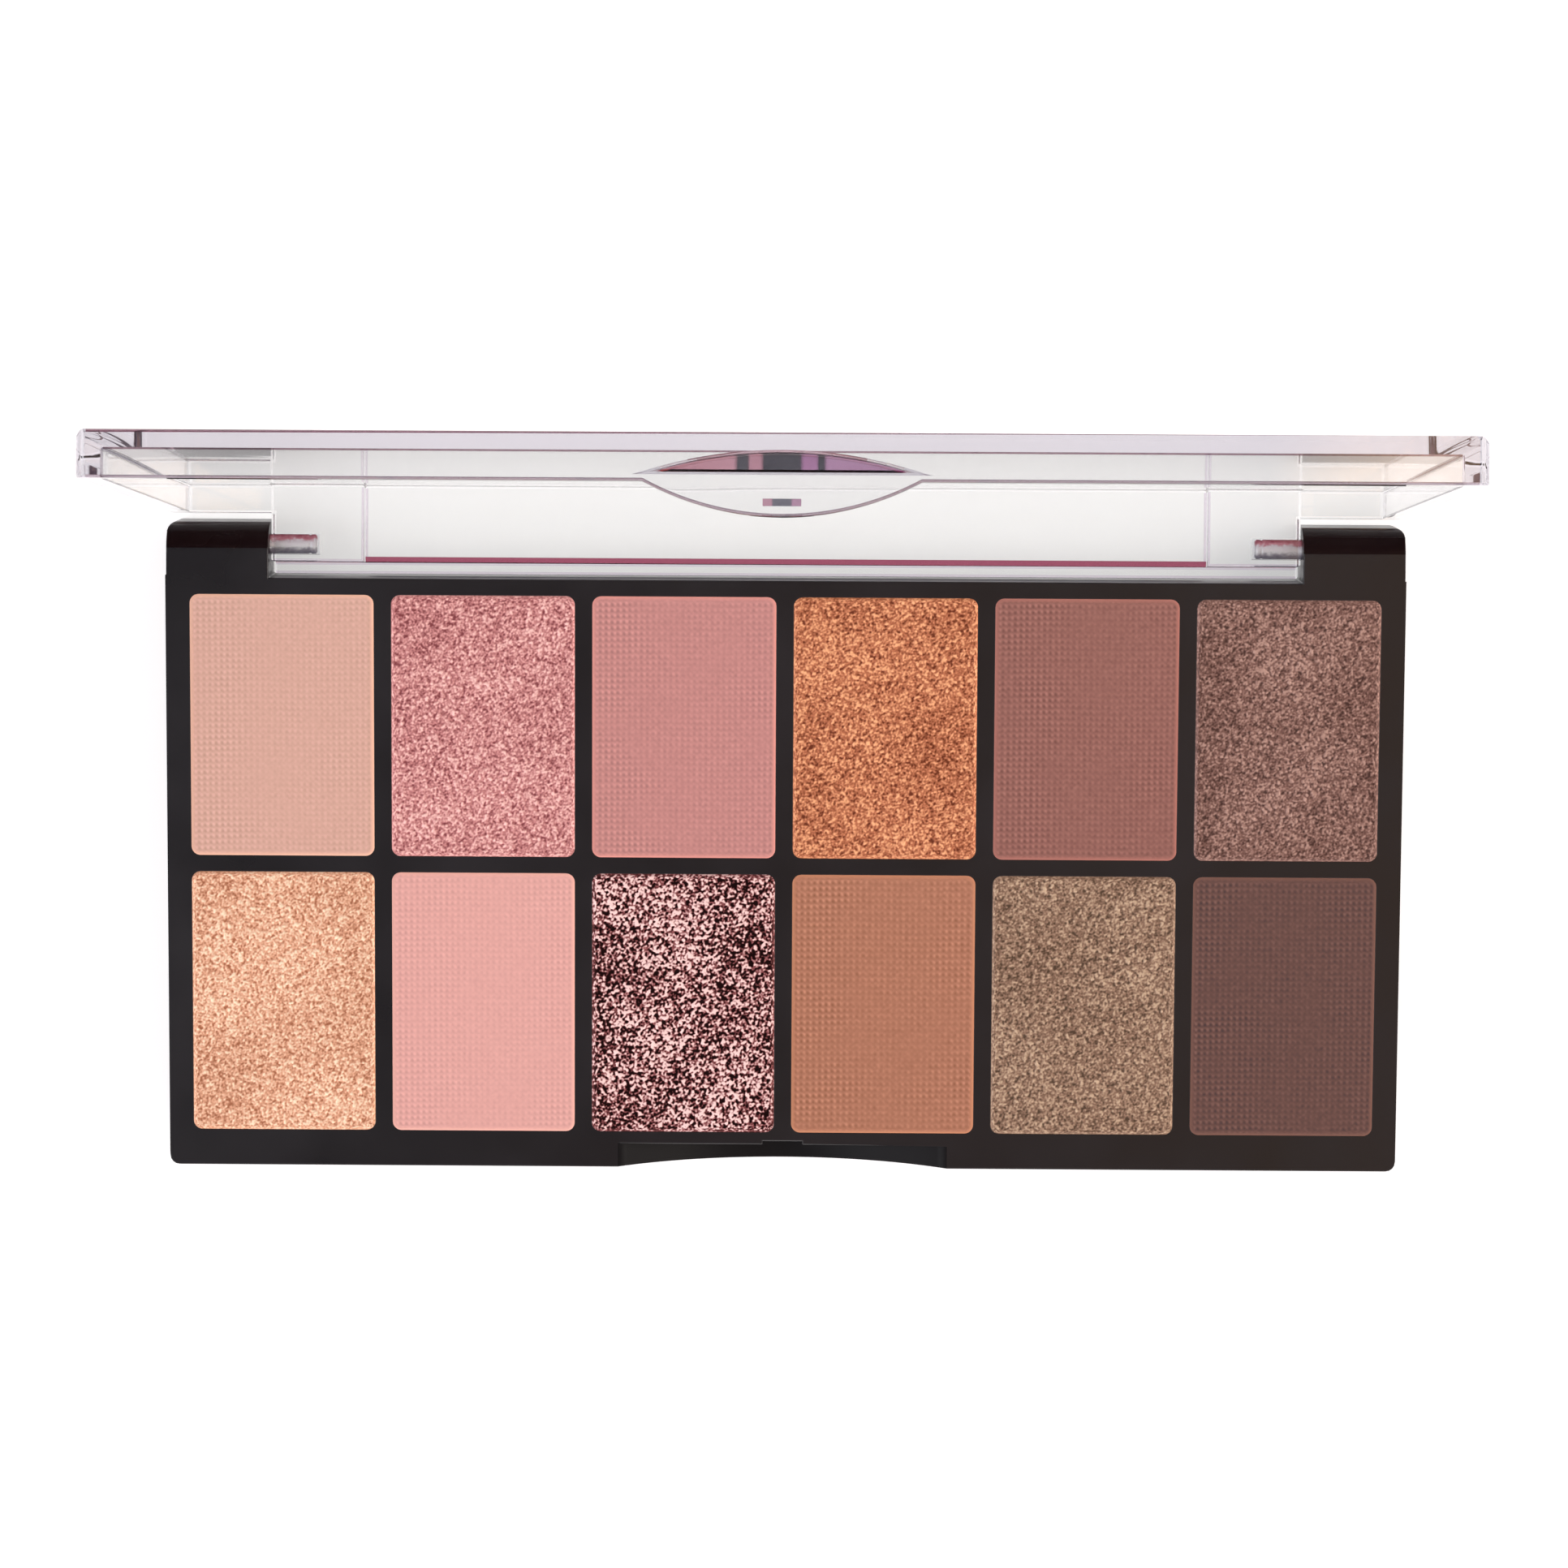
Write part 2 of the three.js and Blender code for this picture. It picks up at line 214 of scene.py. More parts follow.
glow = addNode(sky, "ShaderNodeBackground", Color=stage["warmPanel"], Strength=overhead)
both = addNode(sky, "ShaderNodeAddShader", i0=room.outputs["Background"], i1=glow.outputs["Background"])
addNode(sky, "ShaderNodeOutputWorld", Surface=both.outputs["Shader"])

for name, place, size, power, color in stage["softboxes"]:
    lamp = bpy.data.lights.new(name, "AREA")
    lamp.shape = "RECTANGLE"
    lamp.size, lamp.size_y = size
    lamp.energy = power
    lamp.color = hexColor(color)[:3]
    box = bpy.data.objects.new(name, lamp)
    bpy.context.scene.collection.objects.link(box)
    aim = (-Vector(place)).to_track_quat("-Z", "Y").to_matrix().to_4x4()
    box.matrix_world = Matrix.Translation(place) @ aim

half = stage["floorSize"] / 2
corners = np.array([(-half, -half, 0), (half, -half, 0), (half, half, 0), (-half, half, 0)])
floor = meshFromArrays("floor", corners, np.array([[0, 1, 2, 3]]))
floorMaterial, tree = newMaterial("studioPaper")
finishMaterial(tree, Base_Color=stage["floorColor"], Roughness=0.9,
               Emission_Color="ffffff", Emission_Strength=stage["floorGlow"])
dress(floor, floorMaterial)
print("camera, lights and floor ready")


def filletWeight(edge, width):
    # 1 for an edge sharper than 40 degrees that has room for the fillet at both ends, else 0; an edge that
    # runs nearly straight on from it may be short
    if len(edge.link_faces) != 2 or edge.calc_face_angle() < math.radians(40) or edge.calc_length() < width:
        return 0.0
    for corner in edge.verts:
        away = (edge.other_vert(corner).co - corner.co).normalized()
        for other in corner.link_edges:
            if other is not edge and other.calc_length() < 2.1 * width:
                if away.dot((other.other_vert(corner).co - corner.co).normalized()) > -0.6:
                    return 0.0
    return 1.0


def flatNormals(mesh):
    # a corner's normal is the sum of the normals times the areas of the faces round its vertex, leaving out
    # those turned too far from its own face: flat faces shade flat and fillets run smoothly into them
    alike = 0.64  # the cosine of about 50 degrees
    around = [[] for _ in mesh.vertices]
    for face in mesh.polygons:
        for vertex in face.vertices:
            around[vertex].append(face.index)
    normals = np.array([face.normal[:] for face in mesh.polygons])
    weighted = normals * np.array([face.area for face in mesh.polygons])[:, None]
    corners = []
    for face in mesh.polygons:
        for vertex in face.vertices:
            near = np.array(around[vertex])
            total = weighted[near[normals[near] @ normals[face.index] > alike]].sum(0)
            corners.append(total / max(np.linalg.norm(total), 1e-12))
    mesh.normals_split_custom_set(corners)


def roundedCopy(nodeName, pieceName, materials, width, segments, filletShare, cut=None):
    # the CAD node's shape with its triangles joined, its flat faces made whole and small fillets on its edges;
    # filletShare gives each edge's width from its middle, and the fillets take the last material; cut is a
    # point and a normal of a plane that splits the faces it crosses
    mesh = frame["nodes"][nodeName].data.copy()
    mesh.name = pieceName
    mesh.materials.clear()
    for material in materials:
        mesh.materials.append(material)
    obj = bpy.data.objects.new(pieceName, mesh)
    bpy.context.scene.collection.objects.link(obj)
    work = bmesh.new()
    work.from_mesh(mesh)
    bmesh.ops.remove_doubles(work, verts=work.verts, dist=2e-6)
    bmesh.ops.dissolve_limit(work, angle_limit=math.radians(0.5), verts=work.verts, edges=work.edges)
    weight = work.edges.layers.float.new("bevel_weight_edge")
    for edge in work.edges:
        middle = (edge.verts[0].co + edge.verts[1].co) / 2
        edge[weight] = filletShare(middle) * filletWeight(edge, width * mm)
    for face in work.faces:
        face.smooth = True
        face.material_index = 0
    work.to_mesh(mesh)
    work.free()
    bevel = obj.modifiers.new("fillet", "BEVEL")
    bevel.width = width * mm
    bevel.segments = segments
    bevel.limit_method = "WEIGHT"
    bevel.miter_outer = "MITER_SHARP"
    bevel.material = len(materials) - 1
    bevel.use_clamp_overlap = False
    bpy.context.view_layer.objects.active = obj
    with bpy.context.temp_override(active_object=obj, object=obj, selected_objects=[obj]):
        bpy.ops.object.modifier_apply(modifier="fillet")
    if cut:
        work = bmesh.new()
        work.from_mesh(mesh)
        bmesh.ops.bisect_plane(work, geom=[*work.verts, *work.edges, *work.faces], dist=1e-7,
                               plane_co=cut[0], plane_no=cut[1])
        work.to_mesh(mesh)
        work.free()
    flatNormals(mesh)
    return obj


def facePlaces(mesh):
    # centres in mm, unit normals and material numbers of all faces
    count = len(mesh.polygons)
    centres, normals, slots = np.zeros(3 * count), np.zeros(3 * count), np.zeros(count, np.int32)
    mesh.polygons.foreach_get("center", centres)
    mesh.polygons.foreach_get("normal", normals)
    mesh.polygons.foreach_get("material_index", slots)
    return centres.reshape(-1, 3) / mm, normals.reshape(-1, 3), slots


blackAbs = {
    "darker": "0f0e10",
    "lighter": "151418",
    "roughness": (0.27, 0.33),
    "cloud": 12.0,  # mm
    "grain": 0.35,  # mm, the spark-eroded mould's texture
    "bump": 0.004,  # mm
    "fillet": 0.12,  # mm
    "windowFillet": 0.4,  # share of it left on the window edges
    "windowsReach": (60.2, 27.3),  # mm, half the size of the block of windows
    "windowsCentreY": -1.725,  # mm
    # painted shade: a darker, duller copy of the plastic for the thumb notch
    "hollow": {"darker": "0b0a0c", "lighter": "100f12", "specular": 0.16, "roughness": (0.4, 0.5)},
    # painted shade: a darker, duller copy of the plastic for the ears' round backs, which turn away from the
    # lamps
    "turned": {"darker": "120708", "lighter": "160a0c", "specular": 0.12},
    "notch": (16.75, -29.95, 7.9),  # mm, half width, back and top of the thumb notch
    "earInner": 51.6,  # mm
    "earFoot": 5,  # mm
    # the painted shade on the ears' round backs covers this span
    "turnedSpan": (30.1, 32.46),  # mm, how far the dark part of the ear's round back runs in Y
}

# ABS moulded in black: a deep neutral black with a soft sheen, slightly uneven from the mould
absMaterial = makeGrained("mouldedBlackAbs", blackAbs)
# the same plastic painted darker and duller in the thumb notch: painted shade where little light gets in
notchShadeAbs = makeGrained("mouldedBlackAbsHollow", {**blackAbs, **blackAbs["hollow"]})
# and painted darker on the ears' round backs: painted shade where they turn away from the lamps
earShadeAbs = makeGrained("mouldedBlackAbsTurned", {**blackAbs, **blackAbs["turned"]})


def frameFilletShare(middle):
    x, y, _ = middle / mm
    reachX, reachY = blackAbs["windowsReach"]
    atWindow = abs(x) < reachX and abs(y - blackAbs["windowsCentreY"]) < reachY
    return blackAbs["windowFillet"] if atWindow else 1.0


topFrame = roundedCopy("top_frame", "topFrameMoulding", [absMaterial, notchShadeAbs, earShadeAbs, absMaterial],
                       blackAbs["fillet"], 3, frameFilletShare)
centres, normals, slots = facePlaces(topFrame.data)
x, y, z = centres.T
halfNotch, notchBack, notchTop = blackAbs["notch"]
earShadeFrom, earShadeTo = blackAbs["turnedSpan"]
onEar = (np.abs(x) > blackAbs["earInner"]) & (z > blackAbs["earFoot"])
# 0 is the plain plastic, 1 the notch's painted shade and 2 the painted shade on the ears' backs
slots[:] = 0
slots[(np.abs(x) < halfNotch) & (y < notchBack) & (z < notchTop)] = 1
slots[onEar & (y > earShadeFrom) & (y < earShadeTo)] = 2
topFrame.data.polygons.foreach_set("material_index", slots)
useFor(topFrame, "base", "top_frame")
print("top frame ready")


powderShape = {
    "step": {"matte": 0.105, "shimmer": 0.08, "glitter": 0.08},  # mm between points inside
    "edgeStep": 0.05,
    "edgeBand": 0.5,
    "cornerRadius": 0.9,
    "fillOut": 0.05,  # mm past the CAD cake, up to the window's wall
    "bevelWidth": 0.3,
    "bevelDrop": 0.12,
    "rimWidth": 0.48,  # mm, the painted highlight along the cake's edge, where its bevel catches the light
    "dimplePitch": 0.59,  # mm between the rows of a matte cake's cloth print
    "ownPitch": {"powder_10": 0.62},
    "dimpleDepth": 0.02,
    "weave": (0.35, 0.26, 0.28, 0.13),  # strength of the waves along X, along Y and along both diagonals
    "rowSway": (0.04, 1.9),  # mm, how far the rows are bent to and fro, and over what run
    "patchSize": 9,  # steps, the spread of a patch where the print is deeper
    "patchDepth": 0.22,
    "grainSize": {"shimmer": 0.064, "glitter": 0.074},  # mm, the spread of one flake cluster
    "matteSand": 0.0015,  # mm, the height of the fine unevenness in a matte cake
    "sandSize": 0.8,  # steps
    "flakeHeight": 0.016,  # mm
    "flakeDrift": 26,  # steps, the spread of a drift where the flakes lie fuller
    "seed": 11,
}

# kind, material slot, then dark, main, light and edge highlight colour; the last is a painted highlight along
# the cake's edge, and the dark and light ends are painted shade and painted light: a matte cake's shaded and
# lit print flanks, or the flakes' own tone with painted glints toward the light end
powders = {
    "powder_01": ("matte", "powder_peach", "c29c8c", "d3aa9b", "e2b8ab", "ffccb0"),
    "powder_02": ("shimmer", "powder_rose_shimmer", "854146", "d08d8c", "fed0c9", "e09e98"),
    "powder_03": ("matte", "powder_dusty_rose", "a57673", "be8783", "d49993", "f0a499"),
    "powder_04": ("shimmer", "powder_copper_shimmer", "6c2f16", "c27754", "fdbc8b", "d1865c"),
    "powder_05": ("matte", "powder_rose_brown", "744f48", "8f635b", "aa786e", "bc7d71"),
    "powder_06": ("shimmer", "powder_taupe_shimmer", "462e28", "816057", "b9978a", "906d63"),
    "powder_07": ("shimmer", "powder_champagne_shimmer", "a96b4b", "e9b190", "ffeacb", "f9bf9b"),
    "powder_08": ("matte", "powder_pink", "cc9a94", "dda8a1", "ebb5ae", "ffc4b5"),
    "powder_09": ("glitter", "powder_mauve_glitter", "160303", "98585a", "ffe0dc", "8a5050"),
    "powder_10": ("matte", "powder_caramel", "91624b", "aa765f", "c68d73", "d69572"),
    "powder_11": ("shimmer", "powder_bronze_shimmer", "513f30", "937662", "cdb498", "a3846d"),
    "powder_12": ("matte", "powder_dark_brown", "493b3c", "664b45", "7f5f57", "866256"),
}

powderNames = {"matte": "pressedMattePowder", "shimmer": "pressedPearlPowder", "glitter": "pressedGlitter"}
# where the dark, main and light colours sit along the grain; on shimmer and glitter the light end is painted
# glints over the flakes' own tone
powderStops = {"matte": (0.0, 0.5, 1.0), "shimmer": (0.12, 0.5, 0.88), "glitter": (0.34, 0.52, 0.72)}


def stepsAcross(half, step):
    # points from -half to half, close together in the edge band and wider inside
    band = powderShape["edgeBand"]
    outer = np.arange(0, band, powderShape["edgeStep"])
    inside = np.linspace(band, 2 * half - band, int(round((2 * half - 2 * band) / step)) + 1)
    return np.concatenate([outer, inside, 2 * half - outer[::-1]]) - half


def roundCorners(x, y, halfX, halfY, radius):
    # a square corner patch is drawn in to a quarter disc: each point keeps its direction from the patch's
    # inner corner, and its longer coordinate becomes its distance
    px = np.maximum(np.abs(x) - (halfX - radius), 0)
    py = np.maximum(np.abs(y) - (halfY - radius), 0)
    longer = np.maximum(px, py)
    inCorner = (px > 0) & (py > 0)
    scale = np.where(inCorner, longer / np.maximum(np.hypot(px, py), 1e-9), 1.0)
    newX = np.sign(x) * (np.minimum(np.abs(x), halfX - radius) + px * scale)
    newY = np.sign(y) * (np.minimum(np.abs(y), halfY - radius) + py * scale)
    inset = np.where(inCorner, radius - longer, np.minimum(halfX - np.abs(x), halfY - np.abs(y)))
    return newX, newY, inset


def softNoise(shape, size, random):
    # white noise blurred by a Gaussian of that size in steps, by its transform, then scaled to unit deviation
    fy = np.fft.fftfreq(shape[0])[:, None]
    fx = np.fft.rfftfreq(shape[1])[None, :]
    blur = np.exp(-2 * (math.pi * size) ** 2 * (fx ** 2 + fy ** 2))
    field = np.fft.irfft2(np.fft.rfft2(random.standard_normal(shape)) * blur, s=shape)
    return (field - field.mean()) / field.std()


def clothPrint(nodeName, x, y, halfX, random):
    # a woven pad's print: sine waves along X, along Y and along both diagonals, so each dimple has a light and
    # a dark flank, which the cake's colour paints as painted light and painted shade; deepest near the left
    # side, less so at the right and faint in the middle; y is bent a little so the rows are not ruled lines
    wave = 2 * math.pi / powderShape["ownPitch"].get(nodeName, powderShape["dimplePitch"])
    bend, run = powderShape["rowSway"]
    kx, ky = wave * x, wave * (y + bend * np.sin(x / run))
    alongX, alongY, falling, rising = powderShape["weave"]
    press = alongX * np.sin(kx) + alongY * np.sin(ky) + falling * np.sin(kx + ky) + rising * np.sin(kx - ky)
    across = x / halfX
    depth = 0.5 + 0.5 * np.clip((-0.15 - across) / 0.5, 0, 1) + 0.25 * np.clip((across - 0.4) / 0.4, 0, 1)
    patchy = 1 + powderShape["patchDepth"] * softNoise(x.shape, powderShape["patchSize"], random)
    return press * depth * patchy


def powderRelief(kind, nodeName, x, y, halfX, inset, random):
    # returns the height added to the flat cake, in mm, and how bright each point's grain is, from -1 to 1; on
    # a matte cake that brightness is painted light and painted shade on the print's flanks, on flakes their
    # own tone with painted glints toward the bright end
    if kind == "matte":
        inside = np.clip(inset / powderShape["bevelWidth"] - 0.5, 0, 1)
        press = clothPrint(nodeName, x, y, halfX, random) * inside
        sand = softNoise(x.shape, powderShape["sandSize"], random)
        height = powderShape["dimpleDepth"] * press + powderShape["matteSand"] * sand
        # painted light and painted shade of the print's flanks, with the sand's own tone
        return height, np.clip(1.1 * press + 0.12 * sand, -1, 1)
    # the flakes lie in drifts and fuller in the middle of the pan
    broad = softNoise(x.shape, powderShape["flakeDrift"], random) + 1.2 * (0.35 - (x / halfX) ** 2)
    grain = softNoise(x.shape, powderShape["grainSize"][kind] / powderShape["step"][kind], random)
    height = powderShape["flakeHeight"] * (1 + 0.25 * broad) * grain * np.clip(inset / 0.3, 0.2, 1)
    return height, np.clip((0.9 * grain + 0.12 * broad) / 2.2, -1, 1)


def makePowder(nodeName, index):
    # a grid laid over the window, with rounded corners;
    # height = cake top - drop * (share of the bevel run)^1.5 + relief
    kind = powders[nodeName][0]
    low, high = (np.array(corner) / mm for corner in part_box(nodeName))
    centre = (low + high) / 2
    halfX, halfY = (high - low)[:2] / 2 + powderShape["fillOut"]
    random = np.random.default_rng(powderShape["seed"] + index)
    step = powderShape["step"][kind]
    y, x = np.meshgrid(stepsAcross(halfY, step), stepsAcross(halfX, step), indexing="ij")
    x, y, inset = roundCorners(x, y, halfX, halfY, powderShape["cornerRadius"])
    relief, grain = powderRelief(kind, nodeName, x, y, halfX, inset, random)
    slope = np.clip(1 - inset / powderShape["bevelWidth"], 0, 1)
    z = high[2] - powderShape["bevelDrop"] * slope ** 1.5 + relief
    rows, columns = x.shape
    top = np.stack([x + centre[0], y + centre[1], z], axis=-1).reshape(-1, 3)
    number = np.arange(rows * columns).reshape(rows, columns)
    quads = np.stack([number[:-1, :-1], number[:-1, 1:], number[1:, 1:], number[1:, :-1]],
                     axis=-1).reshape(-1, 4)
    # the wall goes straight down from the rim, and one face closes the bottom
    rim = np.concatenate([number[0, :-1], number[:-1, -1], number[-1, :0:-1], number[:0:-1, 0]])
    foot = top[rim].copy()
    foot[:, 2] = low[2]
    footNumber = rows * columns + np.arange(len(rim))
    wall = np.stack([rim, footNumber, np.roll(footNumber, -1), np.roll(rim, -1)], axis=-1)
    piece = meshFromArrays("powderCake" + nodeName[-2:], np.concatenate([top, foot]) * mm,
                           np.concatenate([quads, wall]), [footNumber[::-1].tolist()])
    tail = np.zeros(len(rim))
    # a painted highlight along the cake's edge, strongest at the rim
    border = np.clip(1 - inset / powderShape["rimWidth"], 0, 1) ** 1.6
    pointAttribute(piece, "grain", np.concatenate([grain.ravel(), tail]))
    pointAttribute(piece, "border", np.concatenate([border.ravel(), tail]))
    smoothAll(piece)
    return piece


def makePowderMaterial(nodeName):
    # talc and pigment pressed dull, pearl flakes with a satin glint, or loose-looking glitter with dark gaps;
    # the grain's ramp paints the flakes' glints and the matte print's light and shade, and a painted highlight
    # is mixed in along the edge
    kind, _, dark, main, light, border = powders[nodeName]
    material, tree = newMaterial(powderNames[kind] + nodeName[-2:])
    grain = addNode(tree, "ShaderNodeAttribute", {"attribute_name": "grain"}).outputs["Fac"]
    highlightShare = addNode(tree, "ShaderNodeAttribute", {"attribute_name": "border"}).outputs["Fac"]
    stops = list(zip(powderStops[kind], (dark, main, light)))
    body = addRamp(tree, addRange(tree, grain, -1.0, 1.0), stops)
    if kind == "matte":
        finishMaterial(tree, Base_Color=addMix(tree, highlightShare, body, border), Roughness=0.95,
                       Specular_IOR_Level=0.2)
    else:
        edged = addMix(tree, addMath(tree, "MULTIPLY", highlightShare, 0.5), body, border)
        finishMaterial(tree, Base_Color=edged, Roughness=0.42, Metallic=0.35,
                       Specular_IOR_Level=0.35 if kind == "shimmer" else 0.1)
    return material


for index, nodeName in enumerate(powders):
    piece = makePowder(nodeName, index)
    dress(piece, makePowderMaterial(nodeName))
    useFor(piece, "base", nodeName)
print("powders pressed")


clearStyrene = {
    # the panel and the back wall are painted a little grey: painted shade on the same clear plastic that the
    # other walls show white
    "panel": "e6e6e5",
    "frontWall": "ffffff",
    "backWall": "e3e4e3",  # the thick back wall, seen from above through the whole lid
    "sideWall": "ffffff",
    # the edge colours are painted shade: the dark room seen bent through the fillets, painted onto them
    "deepEdge": "5e303e",
    "softEdge": "b09aa4",
    "innerEdge": "a0767e",
    "knuckleEdge": "c8bccc",
    "faint": "f4f4f6",
    # painted light and shade seen through the latch bar, the ledge and the finger scoop: pink painted
    # reflections of the cloth between dark painted shade
    "latchBar": [(0.42, "c88094"), (0.46, "c88094"), (0.465, "505058"), (0.535, "505058"), (0.54, "b87c9c"),
                 (0.58, "b87c9c")],
    "ledge": "6e1c30",
    "thumbGrip": [(0, "c46c78"), (0.315, "dc8896"), (0.33, "303034"), (0.37, "303034"), (0.38, "cc7c8c"),
                  (0.415, "cc7c8c"), (0.43, "2a2a2e"), (0.57, "2e2e32"), (0.585, "aa6498"), (0.63, "aa6498"),
                  (0.64, "2c2c30"), (0.66, "2c2c30"), (0.675, "b87aa8"), (1, "b0709c")],
    "gripReach": 11.5,  # mm, half the width of the finger scoop's flat
    "ior": 1.57,
    "faintIor": 1.03,  # the tight bores and the blended shoulders hardly bend the light
    "boreReach": 1.3,  # mm round the hinge axis
    # a fine painted shade line sits at this height
    "innerLine": 10.72,  # mm, closed height of a fine line where the panel meets the front wall
    "tintColor": "d2cad8",
    "tintDensity": 12.0,  # per metre, so it only shows along a wall
    "fillet": 0.32,  # mm, on the panel's front edge
    "otherFillets": 0.78,  # share of it
}


def makeClearStyrene(name, color, ior):
    # clear styrene copolymer, polished in the mould: bright, with painted shade where a wall turns and bends
    # the light away; a list of stops is a colour that changes along X, over the finger scoop's width, painting
    # the light and shade seen through it
    material, tree = newMaterial(name)
    if not isinstance(color, str):
        across = addNode(tree, "ShaderNodeSeparateXYZ", Vector=objectPoint(tree)).outputs["X"]
        reach = clearStyrene["gripReach"] * mm
        color = addRamp(tree, addRange(tree, across, -reach, reach), color)
    shader = addNode(tree, "ShaderNodeBsdfPrincipled", Base_Color=color, Roughness=0.02,
                     IOR=ior, Transmission_Weight=1.0)
    inside = addNode(tree, "ShaderNodeVolumeAbsorption", Color=clearStyrene["tintColor"],
                     Density=clearStyrene["tintDensity"])
    addNode(tree, "ShaderNodeOutputMaterial", Surface=shader.outputs["BSDF"], Volume=inside.outputs["Volume"])
    return material


pinY, pinZ = np.array(hinge["pos_m"][1:]) / mm


def closedPlaces(points):
    # where points of the open lid, in mm, lie on the closed one: a turn back about the hinge axis
    angle = math.radians(hinge["range_deg"][1])
    y, z = points[:, 1] - pinY, points[:, 2] - pinZ
    return np.stack([points[:, 0], math.cos(angle) * y - math.sin(angle) * z + pinY,
                     math.sin(angle) * y + math.cos(angle) * z + pinZ], axis=-1)


def lidFilletShare(middle):
    # the latch block and ridge, the inner side rims and the pin bores have edges too close for a fillet, and
    # the panel's front edge has the widest one
    x, y, z = closedPlaces(np.array([middle[:]]) / mm)[0]
    latch = abs(x) < 3.4 and -30.6 < y < -28 and z < 11
    sideRim = 59 < abs(x) < 61 and z < 9
    bore = math.hypot(y - pinY, z - pinZ) < clearStyrene["boreReach"]
    if latch or sideRim or bore:
        return 0.0
    return 1.0 if y < -32 and z > 12 else clearStyrene["otherFillets"]


def between(values, low, high):
    return (values > low) & (values < high)


# the fillets come last, as plain wall, until the rules below give each face its own
lidColors = ["panel", "frontWall", "backWall", "sideWall", "deepEdge", "softEdge", "innerEdge", "knuckleEdge",
             "faint", "latchBar", "ledge", "thumbGrip", "sideWall"]
slotOf = {name: number for number, name in enumerate(lidColors[:-1])}
lidMaterials = [makeClearStyrene("clearStyrene" + name[0].upper() + name[1:], clearStyrene[name],
                                 clearStyrene["faintIor" if name == "faint" else "ior"])
                for name in lidColors]
opening = Matrix.Rotation(-math.radians(hinge["range_deg"][1]), 3, "X")
pinPlace = Vector(hinge["pos_m"])
shadeLineCut = (pinPlace + opening @ (Vector((0, 0, clearStyrene["innerLine"] * mm)) - pinPlace),
           opening @ Vector((0, 0, 1)))
lid = roundedCopy("lid_shell", "lidShellClear", lidMaterials, clearStyrene["fillet"], 3, lidFilletShare,
                  shadeLineCut)
centres, normals, slots = facePlaces(lid.data)
x, y, z = closedPlaces(centres).T
normalZ = closedPlaces(normals + np.array([0, pinY, pinZ]))[:, 2] - pinZ
side, lean = np.abs(x), np.abs(normalZ)  # lean is 1 for a level face and 0 for an upright one
turned = slots == len(lidColors) - 1  # the fillets
slots[:] = slotOf["sideWall"]
lidRules = [
    # colour, then the faces that take it, by their places in mm on the closed lid; a later line wins
    ("panel", (lean > 0.9) & (z > 10.5)),
    ("frontWall", ~turned & (y < -29) & (lean < 0.5)),
    ("backWall", ~turned & (y > 27) & (lean < 0.5)),
    # painted shade on the panel's front edge, then on the edges under the rim, but not the finger scoop's
    ("deepEdge", turned & (y < -32) & (z > 12)),
    ("softEdge", turned & (z < 9) & (y < 27)),
    ("faint", turned & (side < 12.5) & between(z, 8.7, 9.3)),
    # the inner corner where the panel meets the front wall, painted shade with a fine painted shade line along
    # it
    ("innerEdge", turned & (y < -29) & between(z, 10, 11.5) & (side < 60)),
    ("innerEdge", ~turned & between(y, -30.5, -30.3) & between(z, clearStyrene["innerLine"], 10.95)),
    # painted shade on the knuckles' edges
    ("knuckleEdge", turned & (y > 28) & (z < 8)),
    ("sideWall", turned & (side > 51)),
    # the pin bores and the rounded shoulders at both sides
    ("faint", np.hypot(y - pinY, z - pinZ) < clearStyrene["boreReach"]),
    ("faint", (side > 60.9) & (z > 11.4) & between(lean, 0.1, 0.98)),
    # painted light and shade on the latch bar, the ledge and the finger scoop
    ("latchBar", (side < 3.2) & between(y, -30.2, -29.9) & between(z, 6, 6.8)),
    ("ledge", (side < 42.3) & between(y, 29.9, 30.67) & between(z, 3.15, 3.9)),
    ("thumbGrip", between(y, -31.8, -31.6) & (side < clearStyrene["gripReach"])),
]
for name, chosen in lidRules:
    slots[chosen] = slotOf[name]
lid.data.polygons.foreach_set("material_index", slots)
lid.data.update()
useFor(lid, "lid", "lid_shell")
lid.visible_shadow = False  # clear plastic lets the lamps through
print("lid ready")


hingePin = {
    "sides": 48,
    "chamfer": 0.16,  # mm
    "groove": (0.5, 0.6, 0.74, 0.84),  # mm from the inner end
    "grooveDepth": 0.07,
    "blotch": 0.5,  # mm
    "blotchShift": 0.09,  # how far the plating's blotches move the colours, as a share of 2 mm
    "bump": 0.03,  # mm
    # painted reflections by place across Y: dark grey painted shade in front, a painted highlight along the
    # top, then a rosy painted reflection of the cloth behind
    "colors": [(0.0, "8a8694"), (0.2, "b4b0bc"), (0.4, "ffffff"), (0.66, "f4eef4"), (0.8, "d08c98"),
               (1.0, "a84c5c")],
}


def makePin(nodeName, pieceName):
    # a turned pin: circles of the profile's radius along X, with a groove near its inner end and flat ends
    low, high = (np.array(corner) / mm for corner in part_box(nodeName))
    centre, length, radius = (low + high) / 2, high[0] - low[0], (high[2] - low[2]) / 2
    side = 1 if centre[0] > 0 else -1
    inner = low[0] if side > 0 else high[0]
    chamfer, depth = hingePin["chamfer"], hingePin["grooveDepth"]
    profile = [(0, radius - chamfer), (chamfer, radius)]
    profile += [(place, radius - cut) for place, cut in zip(hingePin["groove"], (0, depth, depth, 0))]
    profile += [(length - chamfer, radius), (length, radius - chamfer)]
    angles = np.arange(hingePin["sides"]) * side * 2 * math.pi / hingePin["sides"]
    points = [(inner + side * run, centre[1] + r * math.cos(a), centre[2] + r * math.sin(a))
              for run, r in profile for a in angles]
    number = np.arange(len(points)).reshape(len(profile), -1)
    following = np.roll(number, -1, axis=1)
    quads = np.stack([number[:-1], number[1:], following[1:], following[:-1]], axis=-1).reshape(-1, 4)
    ends = [number[0].tolist(), number[-1][::-1].tolist()]
    pin = meshFromArrays(pieceName, np.array(points) * mm, quads, ends)
    smoothAll(pin)
    flatNormals(pin.data)
    return pin


